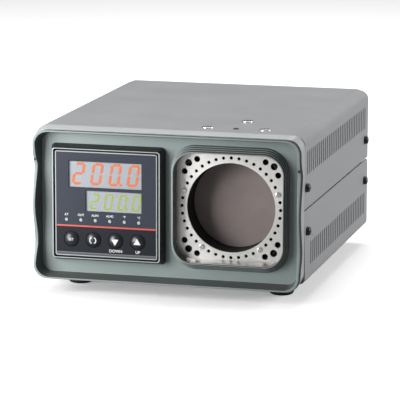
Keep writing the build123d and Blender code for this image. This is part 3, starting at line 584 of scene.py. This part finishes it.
orange_light = lit("orange_light", (0.80, 0.155, 0.0), 1.0)
figures("measured_value", "upper_window", 0.86, 0.035, 0.10, orange_light)
lime_light = lit("lime_light", (0.32, 0.46, 0.008), 1.0)
figures("set_value", "lower_window", 0.80, 0.055, 0.09, lime_light)
display_grey = textured("display_grey", (0.33, 0.35, 0.38), 0.6, 0.0010, 0.00001, 0.03)
dress(display_grey, "upper_display", "lower_display")
clear_window = textured("clear_window", (0.42, 0.46, 0.50), 0.08, 0.003, 0.000003, 0.02)
clear_window.node_tree.nodes["Principled BSDF"].inputs["Alpha"].default_value = 0.05
dress(clear_window, "upper_window", "lower_window")

# ---- lamps and printed legends ----
# Six frosted lamp lenses stand in the film. The legends are printed in white: a function over each
# lamp, and the words under the two right-hand keys.
frosted = textured("frosted_lamp", (0.40, 0.40, 0.45), 0.42, 0.0004, 0.00002, 0.06)
lamps = eased("indicator_lamps", "lamp_lenses", 0.0003, frosted, steps=3)
white_ink = textured("white_ink", (0.72, 0.73, 0.75), 0.45, 0.0004, 0.00001, 0.04)


def legend(name, words, height, where, body="case", finish=white_ink):
    """Printed words, as a thin raised mesh."""
    bpy.ops.object.select_all(action="DESELECT")
    bpy.ops.object.text_add()
    words_curve = bpy.context.object
    words_curve.data.body = words
    words_curve.data.size = height / 0.70
    words_curve.data.align_x = "CENTER"
    words_curve.data.align_y = "CENTER"
    words_curve.data.offset = height * 0.018
    words_curve.data.extrude = 0.00003
    bpy.ops.object.convert(target="MESH")
    printed = bpy.context.object
    printed.name = name
    printed.data.transform(where @ to_front)
    printed.data.materials.clear()
    printed.data.materials.append(finish)
    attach(printed, body)
    return printed


lamp_words = (
    ("AT", "at"),
    ("OUT", "out"),
    ("ALM1", "alarm_1"),
    ("ALM2", "alarm_2"),
    ("°F", "f"),
    ("°C", "c"),
)
ink_gap = 0.00002
lamp_legend_height = 0.0014
lamp_legend_rise = 0.0021
for (low, high), (words, plain) in zip(solids_of("indicator_lamps"), lamp_words):
    spot = ((low[0] + high[0]) / 2, face_y - ink_gap, high[2] + lamp_legend_rise)
    legend(f"legend_{plain}", words, lamp_legend_height, Matrix.Translation(spot))

# ---- keys ----
# Four round push keys in gloss black, each a crowned cap on a flange behind the film, printed in
# white: SET, a ring broken in two, a triangle down and a triangle up.
gloss_black = textured("gloss_key_black", (0.020, 0.021, 0.025), 0.33, 0.0008, 0.00001, 0.15)
key_low, key_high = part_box("key_set")
flange_radius = (key_high.x - key_low.x) / 2
flange_width = 0.0009
flange_height = 0.0008
key_radius = flange_radius - flange_width
key_height = key_high.y - key_low.y
bpy.ops.object.select_all(action="DESELECT")
bpy.ops.mesh.primitive_cylinder_add(
    vertices=64, radius=key_radius, depth=key_height, location=(0, 0, -key_height / 2)
)
cap = bpy.context.object
bpy.ops.object.transform_apply(location=True, rotation=False, scale=False)
bpy.ops.object.mode_set(mode="EDIT")
bpy.ops.mesh.select_mode(type="FACE")
bpy.ops.mesh.select_all(action="DESELECT")
bpy.ops.object.mode_set(mode="OBJECT")
for side in cap.data.polygons:
    side.select = side.normal.z > 0.9
bpy.ops.object.mode_set(mode="EDIT")
# the crown: each ring in from the edge rises less than the one before
crown = 0.0021
rings = 9
crown_share = 0.92
bpy.ops.transform.translate(value=(0, 0, -crown))
for ring in range(rings):
    bpy.ops.mesh.inset(thickness=key_radius * crown_share / rings)
    inner = 1 - (ring + 1) * crown_share / rings
    outer = 1 - ring * crown_share / rings
    bpy.ops.transform.translate(value=(0, 0, crown * (outer**2.6 - inner**2.6)))
bpy.ops.mesh.select_all(action="DESELECT")
bpy.ops.object.mode_set(mode="OBJECT")
for side in cap.data.polygons:
    side.select = side.normal.z < -0.9
bpy.ops.object.mode_set(mode="EDIT")
bpy.ops.transform.translate(value=(0, 0, flange_height))
bpy.ops.mesh.extrude_region_move(TRANSFORM_OT_translate={"value": (0, 0, -flange_height)})
bpy.ops.object.mode_set(mode="OBJECT")
bpy.ops.object.shade_smooth_by_angle(angle=radians(35))

key_legend_drop = 0.0295
key_legend_height = 0.0018
for key in ("set", "cycle", "down", "up"):
    low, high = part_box(f"key_{key}")
    middle = (low + high) / 2
    where = Matrix.Translation((middle.x, low.y, middle.z))
    body = f"key_{key}"
    placed(cap, f"key_cap_{key}", where @ to_front, gloss_black, "key_plastic", f"key_{key}", body=body)
    mark_at = Matrix.Translation((middle.x, low.y - 0.00001, middle.z))
    if key == "set":
        legend("mark_set", "SET", 0.0016, mark_at, body=body)
    elif key == "cycle":
        bpy.ops.object.select_all(action="DESELECT")
        bpy.ops.mesh.primitive_torus_add(
            major_radius=0.0020, minor_radius=0.00032, major_segments=48, minor_segments=8
        )
        loop = bpy.context.object
        loop.name = "mark_cycle"
        bpy.ops.object.mode_set(mode="EDIT")
        bpy.ops.mesh.select_all(action="DESELECT")
        bpy.ops.object.mode_set(mode="OBJECT")
        for vertex in loop.data.vertices:
            vertex.select = abs(vertex.co.x) < 0.0006
        bpy.ops.object.mode_set(mode="EDIT")
        bpy.ops.mesh.delete(type="VERT")
        bpy.ops.mesh.select_all(action="SELECT")
        bpy.ops.mesh.region_to_loop()
        bpy.ops.mesh.edge_face_add()
        bpy.ops.mesh.select_all(action="SELECT")
        bpy.ops.transform.resize(value=(1, 1, 0.12))
        bpy.ops.object.mode_set(mode="OBJECT")
        loop.data.transform(mark_at @ to_front)
        loop.data.materials.append(white_ink)
        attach(loop, body)
    else:
        bpy.ops.object.select_all(action="DESELECT")
        bpy.ops.mesh.primitive_cylinder_add(vertices=3, radius=0.0027, depth=bar_thickness)
        arrow = bpy.context.object
        arrow.name = f"mark_{key}"
        bpy.ops.object.mode_set(mode="EDIT")
        bpy.ops.mesh.select_all(action="SELECT")
        bpy.ops.mesh.bevel(offset=0.00002, segments=1)
        bpy.ops.object.mode_set(mode="OBJECT")
        flip = Matrix.Rotation(pi, 4, "Z") if key == "down" else Matrix.Identity(4)
        arrow.data.transform(mark_at @ to_front @ flip)
        arrow.data.materials.append(white_ink)
        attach(arrow, body)
        words_at = Matrix.Translation((middle.x, face_y - ink_gap, plate_middle.z - key_legend_drop))
        legend(f"legend_{key}", key.upper(), key_legend_height, words_at)
bpy.data.objects.remove(cap)
dress(black_plastic, "key_switches", "controller_clamps")
circuit_green = textured("circuit_board_green", (0.02, 0.12, 0.05), 0.35, 0.002, 0.00002, 0.3)
dress(circuit_green, "controller_board")

# ---- perforated plate ----
# A bright stainless plate with a round mouth, a ring of small vent holes and three larger ones in
# each corner, as punched. Four small screws hold it, and a bright strip lines the sill.
brushed = (0.06, 1, 1)
stainless = textured(
    "brushed_stainless", (0.90, 0.885, 0.86), 0.36, 0.0012, 0.00001, 0.06, metallic=1.0, stretch=brushed
)
dress(stainless, "perforated_plate")
sill = eased("sill_strip", "bright_sill", 0.0002, stainless)
plate_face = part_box("perforated_plate")[0].y
small_head = screw(0.0017, 0.0008, 0.00095, 0.0028, 1.1)
for number, (low, high) in enumerate(solids_of("plate_screws"), 1):
    seat = Vector(((low[0] + high[0]) / 2, plate_face, (low[2] + high[2]) / 2))
    where = Matrix.Translation(seat) @ to_front @ Matrix.Rotation(number, 4, "Z")
    placed(small_head, f"plate_screw_{number}", where, bright_metal, "bright_screw", "plate_screws")
bpy.data.objects.remove(small_head)

# ---- target ----
# The target is an aluminium disc with a dead matt, slightly mottled high-emissivity coating, deep in
# a black shroud. Behind it are the bored heater block, its cartridges, the probe and the black felt.
target_coat = textured("target_coat", (0.225, 0.188, 0.182), 0.92, 0.0007, 0.00012, 0.10, patch=0.016)
dress(target_coat, "target_disc")
shroud_black = textured("shroud_black", (0.010, 0.009, 0.009), 0.7, 0.0008, 0.00003, 0.2)
dress(shroud_black, "target_shroud")
machined = textured("machined_aluminium", (0.66, 0.66, 0.66), 0.32, 0.0008, 0.00001, 0.05, metallic=1.0)
dress(machined, "heater_block")
dress(stainless, "heater_cartridges", "temperature_probe")
felt = textured("carbon_felt", (0.012, 0.012, 0.012), 0.95, 0.0012, 0.0003, 0.25)
dress(felt, "insulation_ring")
ceramic = textured("unglazed_ceramic", (0.78, 0.75, 0.69), 0.7, 0.0006, 0.00003, 0.05)
dress(ceramic, "standoff_posts")
blued_steel = textured(
    "heat_blued_steel", (0.035, 0.035, 0.040), 0.5, 0.0008, 0.00002, 0.25, metallic=0.6
)
dress(blued_steel, "heat_shield")
dress(zinc, "heater_bracket")

# ---- power parts on the tray ----
# A solid-state relay on its finned heat sink, and the terminal block that the mains wiring goes to.
black_anodised = textured("black_anodised", (0.05, 0.05, 0.055), 0.4, 0.0007, 0.00001, 0.1, metallic=0.8)
dress(black_anodised, "heat_sink")
cream_plastic = textured("cream_plastic", (0.52, 0.49, 0.42), 0.45, 0.0007, 0.00002, 0.04)
dress(cream_plastic, "relay")
dress(black_plastic, "terminal_block")

# ---- rear panel and fan ----
# The painted rear panel is set in between the covers, with tabs for their rear screws. The fan sits
# inside it and faces a guard of round bright-plated wire, held by four black screws.
panel = eased("rear_panel", "rear_panel_sheet", 0.0002, case_paint)
fan_body = eased("fan_frame", "fan_housing", 0.0003, black_plastic)
fan_blades = eased("fan_rotor", "fan_impeller", 0.00025, black_plastic, body="fan_rotor")

guard_low, guard_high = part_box("fan_guard")
wire = (guard_high.y - guard_low.y) / 2
guard_middle = (guard_low + guard_high) / 2
screw_offset = 0.025
guard_radius = 0.0285
ring_step = 0.007
eye_radius = 0.0028
parts = []
for ring in range(4):
    bpy.ops.mesh.primitive_torus_add(
        major_radius=guard_radius - ring_step * ring, minor_radius=wire, major_segments=72, minor_segments=12
    )
    parts.append(bpy.context.object)
for turn in range(4):
    bpy.ops.mesh.primitive_cylinder_add(vertices=12, radius=wire, depth=0.0245, location=(0.0207, 0, 0))
    spoke = bpy.context.object
    spoke.rotation_euler.y = pi / 2
    bpy.ops.object.transform_apply(location=True, rotation=True, scale=False)
    spoke.data.transform(Matrix.Rotation(pi / 4 + turn * pi / 2, 4, "Z"))
    parts.append(spoke)
    bpy.ops.mesh.primitive_torus_add(
        major_radius=eye_radius, minor_radius=wire, major_segments=32, minor_segments=12
    )
    eye = bpy.context.object
    corner = Matrix.Rotation(pi / 4 + turn * pi / 2, 4, "Z") @ Vector((screw_offset * 2**0.5, 0, 0))
    eye.data.transform(Matrix.Translation(corner))
    parts.append(eye)
bpy.ops.object.select_all(action="DESELECT")
for part in parts:
    part.select_set(True)
bpy.context.view_layer.objects.active = parts[0]
bpy.ops.object.join()
guard = bpy.context.object
bpy.ops.object.shade_smooth_by_angle(angle=radians(40))
guard_place = Matrix.Translation(guard_middle) @ to_rear
placed(guard, "wire_guard", guard_place, bright_metal, "bright_screw", "fan_guard")
bpy.data.objects.remove(guard)

fan_head_height = 0.0024
fan_head = screw(0.0034, fan_head_height, 0.0019, 0.0200, 1.1)
head_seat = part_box("fan_screws")[1].y - fan_head_height
for number, (low, high) in enumerate(solids_of("fan_screws"), 1):
    seat = Vector(((low[0] + high[0]) / 2, head_seat, (low[2] + high[2]) / 2))
    where = Matrix.Translation(seat) @ to_rear @ Matrix.Rotation(number, 4, "Z")
    placed(fan_head, f"fan_screw_{number}", where, black_screw, "black_steel", "fan_screws")
bpy.data.objects.remove(fan_head)

# ---- mains inlet and switch ----
# A moulded inlet with three plated pins and a drawer for its fuse above them, and beside it a gloss
# black rocker switch marked with a bar and a ring.
inlet = eased("mains_inlet", "mains_inlet_moulding", 0.0004, black_plastic)
plated_brass = textured("plated_brass", (0.72, 0.68, 0.58), 0.25, 0.0005, 0.00001, 0.04, metallic=1.0)
pins = eased("inlet_pins", "mains_pins", 0.0004, plated_brass)
drawer = eased("fuse_drawer", "fuse_drawer_front", 0.0003, black_plastic, body="fuse_drawer")
switch_frame = eased("switch_body", "switch_frame", 0.0003, black_plastic)
rocker = eased("power_rocker", "rocker", 0.0004, gloss_black, body="power_rocker", steps=3)

# the rocker's face is two flats that meet at its middle; the lower one leans out by 20 degrees
rocker_low, rocker_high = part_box("power_rocker")
rocker_middle = (rocker_low + rocker_high) / 2
crease_y = rocker_low.y + (rocker_high.z - rocker_low.z) / 2 + 0.0030
mark_rise = 0.0042
rocker_lean = radians(20)
rocker_marks = (("mark_on", "I", mark_rise, 0.0), ("mark_off", "O", -mark_rise, rocker_lean))
for name, words, rise, lean in rocker_marks:
    out = abs(rise) * sin(lean) / cos(lean)
    spot = Vector((rocker_middle.x, crease_y + out + 0.00001, rocker_middle.z + rise))
    where = Matrix.Translation(spot) @ Matrix.Rotation(lean, 4, "X") @ Matrix.Rotation(pi, 4, "Z")
    legend(name, words, 0.0030, where, body="power_rocker")
